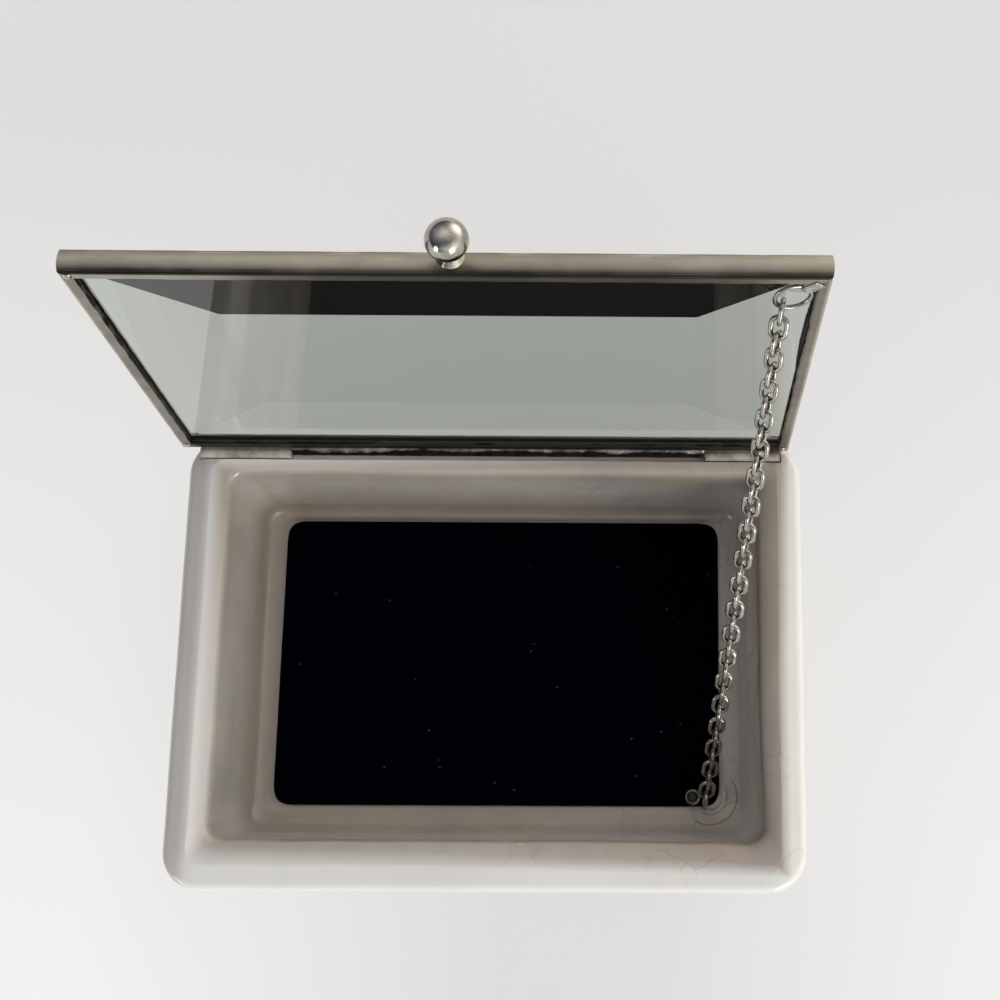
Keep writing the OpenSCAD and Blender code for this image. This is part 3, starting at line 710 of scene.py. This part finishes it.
def shade_bead(name, a, b, low, high, seed):
    """A lumpy, flat black bead of painted shade from a to b: it swells to high and back in its first half."""
    steps, sides, squash = int((b - a).length / 0.6), 8, 0.55
    path = [lid(*a.lerp(b, i / steps)) for i in range(steps + 1)]
    n, verts = len(path), []
    for i, p in enumerate(path):
        ahead = (path[min(n - 1, i + 1)] - path[max(0, i - 1)]).normalized()
        across = ahead.cross(Vector((0, -1, 0))).normalized()
        up = across.cross(ahead).normalized()
        base = low + (high - low) * max(0.0, math.sin(math.pi * min(1.0, i / steps / 0.45))) ** 0.7
        for j in range(sides):
            w = 2 * math.pi * j / sides
            r = max(0.08, base + 0.16 * base * noise.noise(Vector((i * 0.23, seed, 0.4 * w)))
                    + 0.10 * noise.noise(Vector((i * 0.71, seed, w)))) * MM
            verts.append(p + across * r * math.cos(w) + up * r * squash * math.sin(w))
    faces = [(i * sides + j, i * sides + (j + 1) % sides, (i + 1) * sides + (j + 1) % sides,
              (i + 1) * sides + j) for i in range(n - 1) for j in range(sides)]
    faces += [tuple(reversed(range(sides))), tuple(range((n - 1) * sides, n * sides))]
    obj = mesh_object(name, verts, faces)
    set_material(obj, PUTTY_AND_SHADE)
    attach(obj, "lid")


def make_shade_beads():
    """Black beads of painted shade between the glass and the lips, thin on the left and thick on the right.
    """
    edge, front, rear, up, late = LID_W / 2 - LIP, LIP - LID_D, -LIP, 1.05, 6.5
    shade_bead("shade_bead_left", Vector((-edge, front, up)), Vector((-edge, rear, up)), 0.20, 0.20, 1.0)
    shade_bead("shade_bead_right", Vector((edge, front + late, up)), Vector((edge, rear, up)), 0.24, 0.85, 5.0)
    shade_bead("shade_bead_rear", Vector((-edge, rear, up)), Vector((edge, rear, up)), 0.36, 0.36, 9.0)


def lumpy(name, node, voxel, push, scale, material, rides):
    """A remeshed copy of a CAD piece with a hand-made surface, in its place."""
    obj = bpy.data.objects.new(name, nodes[node].data.copy())
    bpy.context.scene.collection.objects.link(obj)
    mod = obj.modifiers.new("remesh", "REMESH")
    mod.mode, mod.voxel_size = "VOXEL", voxel * MM
    apply_modifiers(obj)
    mesh = obj.data
    normals = [v.normal.copy() for v in mesh.vertices]
    for v, nrm in zip(mesh.vertices, normals):
        q = v.co / MM
        lift = noise.noise(q / scale) + 0.5 * noise.noise(q / (scale * 0.4) + Vector((5, 1, 7)))
        v.co += nrm * lift * push * MM
    for p in mesh.polygons:
        p.use_smooth = True
    set_material(obj, material)
    stand_in(obj, node, rides)


# ------------------------------------------------------------------ chain
# in mm: the chain's line runs from the loop on the lid to the anchor in the tray
HOOK, ANCHOR = Vector((65.7363, 60.7028, 136.951)), Vector((54.8, -34.0, 9.9))
PITCH, GRIP, LINK_L, LINK_W, WIRE = 4.11166, 0.86, 6.58, 4.5, 1.15
ROWS = (0, 8, 13, 14, 19, 20, 25, 26, 33, 39)       # each stiff stretch's first link, and the end


def link_line():
    """One oval link's centre line along z: x, z and the angle of its section."""
    r, side = (LINK_W - WIRE) / 2, (LINK_L - LINK_W) / 2
    turns = [math.pi * k / 16 for k in range(17)]
    return [(r * math.cos(start + a), half * side + r * math.sin(start + a), start + a)
            for half, start in ((1, 0.0), (-1, math.pi)) for a in turns]


def twist(i):
    """The chain is twisted below its loop and straightens out down to the pad."""
    return 31 * max(0.0, 1 - max(0, i - 8) / 24) * min(1.0, (i + 1) / 3)


def make_chain():
    axis = (ANCHOR - HOOK).normalized()
    place = (Matrix.Translation(HOOK) @ Matrix.Rotation(math.atan2(-axis.y, axis.z), 4, "X")
             @ Matrix.Rotation(math.asin(axis.x), 4, "Y"))
    line, sides = link_line(), 12
    m = len(line)
    for row in range(len(ROWS) - 1):
        verts, faces = [], []
        for i in range(ROWS[row], ROWS[row + 1]):
            turn = (90 if i % 2 == 0 else 0) + twist(i)
            at = (place @ Matrix.Translation((0, 0, (i + 0.5) * PITCH - GRIP))
                  @ Matrix.Rotation(math.radians(turn), 4, "Z"))
            base = len(verts)
            for k, (x, z, a) in enumerate(line):
                # the wire is a little thinner where it was joined
                seam = math.exp(-((k - 25 if i % 2 else k - 8) ** 2) / 1.2)
                r = WIRE / 2 * (0.985 - 0.05 * seam)
                for j in range(sides):
                    w = 2 * math.pi * j / sides
                    q = Vector((x + r * math.cos(w) * math.cos(a), r * math.sin(w),
                                z + r * math.cos(w) * math.sin(a)))
                    verts.append((at @ q) * MM)
            faces += [(base + k * sides + j, base + k * sides + (j + 1) % sides,
                       base + (k + 1) % m * sides + (j + 1) % sides, base + (k + 1) % m * sides + j)
                      for k in range(m) for j in range(sides)]
        obj = mesh_object("links_%d" % (row + 1), verts, faces)
        fix_normals(obj)
        set_material(obj, CHAIN)
        stand_in(obj, "chain_%d" % (row + 1), "chain_row_%d" % (row + 1))


make_tray()
make_pad()
for side, seed in (("front", 3), ("rear", 17), ("left", 31), ("right", 47)):
    make_came(side, seed)
make_shade_beads()
lumpy("solder_strip", "rod_solder", 0.3, 0.14, 2.2, STRIP, "lid")
lumpy("solder_corners", "corner_solder", 0.16, 0.06, 0.9, SOLDER, "lid")
lumpy("solder_loop", "loop_solder", 0.14, 0.06, 0.7, SOLDER, "lid")
lumpy("adhesive_left", "tube_adhesive_left", 0.25, 0.12, 2.0, ADHESIVE, "tray")
lumpy("adhesive_right", "tube_adhesive_right", 0.25, 0.12, 2.0, ADHESIVE, "tray")
make_chain()


# ------------------------------------------------------------------ stage
def stage():
    size = 6.0
    floor = mesh_object("floor", [(-size, -size, 0), (size, -size, 0), (size, size, 0), (-size, size, 0)],
                        [(0, 1, 2, 3)], smooth=False)
    m = Nodes("floor")
    m.set("Base Color", (0.80, 0.80, 0.79, 1))
    m.set("Roughness", 0.9)
    m.set("Specular IOR Level", 0.1)
    # the pale backdrop as the camera, the metal and the glass see it, under a faint real shadow; its glow is
    # painted shadow too, darker in a band down the middle, where the box stands, than to the sides
    p = m.separate(m.coord)
    far = m.fade(p["Y"], -0.12, 0.16)
    side = m.fade(m.math("ABSOLUTE", m.math("SUBTRACT", p["X"], 0.02)), 0.02, 0.13)
    near = m.mix(side, (0.76, 0.75, 0.735), (1.0, 0.995, 0.985))
    backdrop_painted_shadow = m.mix(far, near, (0.77, 0.765, 0.755))
    emit = m.add("ShaderNodeEmission", Color=backdrop_painted_shadow, Strength=1.0)
    rays = m.tree.nodes.new("ShaderNodeLightPath").outputs
    seen = m.math("MAXIMUM", rays["Is Camera Ray"],
                  m.math("MAXIMUM", rays["Is Glossy Ray"], rays["Is Transmission Ray"]))
    blend = m.tree.nodes.new("ShaderNodeMixShader")
    m.tree.links.new(m.math("MULTIPLY", seen, 0.84), blend.inputs[0])
    m.tree.links.new(m.bsdf.outputs[0], blend.inputs[1])
    m.tree.links.new(emit.outputs[0], blend.inputs[2])
    m.tree.links.new(blend.outputs[0], m.tree.nodes["Material Output"].inputs["Surface"])
    set_material(floor, m.mat)


# soft lights as broad lobes of the sky: azimuth and height in degrees, tightness, colour
SKY = ((90, 76, 6, (0.88, 0.86, 0.84)), (180, 46, 7, (0.15, 0.18, 0.23)), (0, 12, 12, (0.70, 0.67, 0.62)),
       (0, 42, 6, (0.28, 0.27, 0.26)), (45, 14, 11, (3.4, 3.2, 2.9)), (135, 28, 4, (0.20, 0.20, 0.20)),
       (-45, 12, 12, (2.0, 1.92, 1.80)), (-90, 14, 10, (0.75, 0.80, 0.86)))


def lamp(name, location, size, power, colour):
    """A soft window, turned to the box."""
    data = bpy.data.lights.new(name, "AREA")
    data.shape = "RECTANGLE"
    data.size, data.size_y = size
    data.energy = power
    data.color = colour
    obj = bpy.data.objects.new(name, data)
    bpy.context.scene.collection.objects.link(obj)
    obj.location = location
    obj.rotation_mode = "QUATERNION"
    obj.visible_camera = False
    obj.rotation_quaternion = (Vector((0, 0, 0.05)) - Vector(location)).to_track_quat("-Z", "Y")


def world():
    w = bpy.data.worlds.new("studio")
    bpy.context.scene.world = w
    w.use_nodes = True
    t = w.node_tree
    bg = t.nodes["Background"]
    coord = t.nodes.new("ShaderNodeTexCoord").outputs["Generated"]
    total = None
    for azimuth, height, tight, colour in SKY:
        a, e = math.radians(azimuth), math.radians(height)
        dot = t.nodes.new("ShaderNodeVectorMath")
        dot.operation = "DOT_PRODUCT"
        t.links.new(coord, dot.inputs[0])
        dot.inputs[1].default_value = (math.cos(a) * math.cos(e), math.sin(a) * math.cos(e), math.sin(e))
        # exp(tight * (dot - 1)), times the colour
        less = t.nodes.new("ShaderNodeMath")
        less.operation = "MULTIPLY_ADD"
        t.links.new(dot.outputs["Value"], less.inputs[0])
        less.inputs[1].default_value, less.inputs[2].default_value = tight, -tight
        fall = t.nodes.new("ShaderNodeMath")
        fall.operation = "EXPONENT"
        t.links.new(less.outputs[0], fall.inputs[0])
        scale = t.nodes.new("ShaderNodeVectorMath")
        scale.operation = "SCALE"
        scale.inputs[0].default_value = colour
        t.links.new(fall.outputs[0], scale.inputs["Scale"])
        if total is None:
            total = scale.outputs[0]
        else:
            add = t.nodes.new("ShaderNodeVectorMath")
            t.links.new(total, add.inputs[0])
            t.links.new(scale.outputs[0], add.inputs[1])
            total = add.outputs[0]
    # a view that looks past the floor sees a plain pale backdrop
    rays = t.nodes.new("ShaderNodeLightPath").outputs
    pick = t.nodes.new("ShaderNodeMix")
    pick.data_type = "RGBA"
    t.links.new(rays["Is Camera Ray"], pick.inputs[0])
    t.links.new(total, pick.inputs[6])
    pick.inputs[7].default_value = (0.80, 0.80, 0.79, 1)
    t.links.new(pick.outputs[2], bg.inputs["Color"])
    bg.inputs["Strength"].default_value = 1.0


def camera():
    """The photograph's viewing angle: from above, a little in front and to the right."""
    data = bpy.data.cameras.new("camera")
    cam = bpy.data.objects.new("camera", data)
    bpy.context.scene.collection.objects.link(cam)
    data.sensor_width = 36.0
    data.lens = 62.46
    data.shift_x, data.shift_y = -0.1465, -0.0859
    data.clip_start, data.clip_end = 0.01, 20
    cam.location = (35.1 * MM, -51.6 * MM, 475.3 * MM)
    cam.rotation_euler = [math.radians(a) for a in (14.79, -0.56, 0.25)]
    bpy.context.scene.camera = cam


stage()
world()
lamp("window_right", (0.72, -1.35, 0.30), (0.55, 0.6), 9.0, (1.0, 0.985, 0.955))
lamp("window_left", (-1.1, -1.05, 0.26), (0.4, 0.6), 4.0, (0.90, 0.95, 1.0))
camera()
bpy.context.scene.view_settings.view_transform = "Standard"
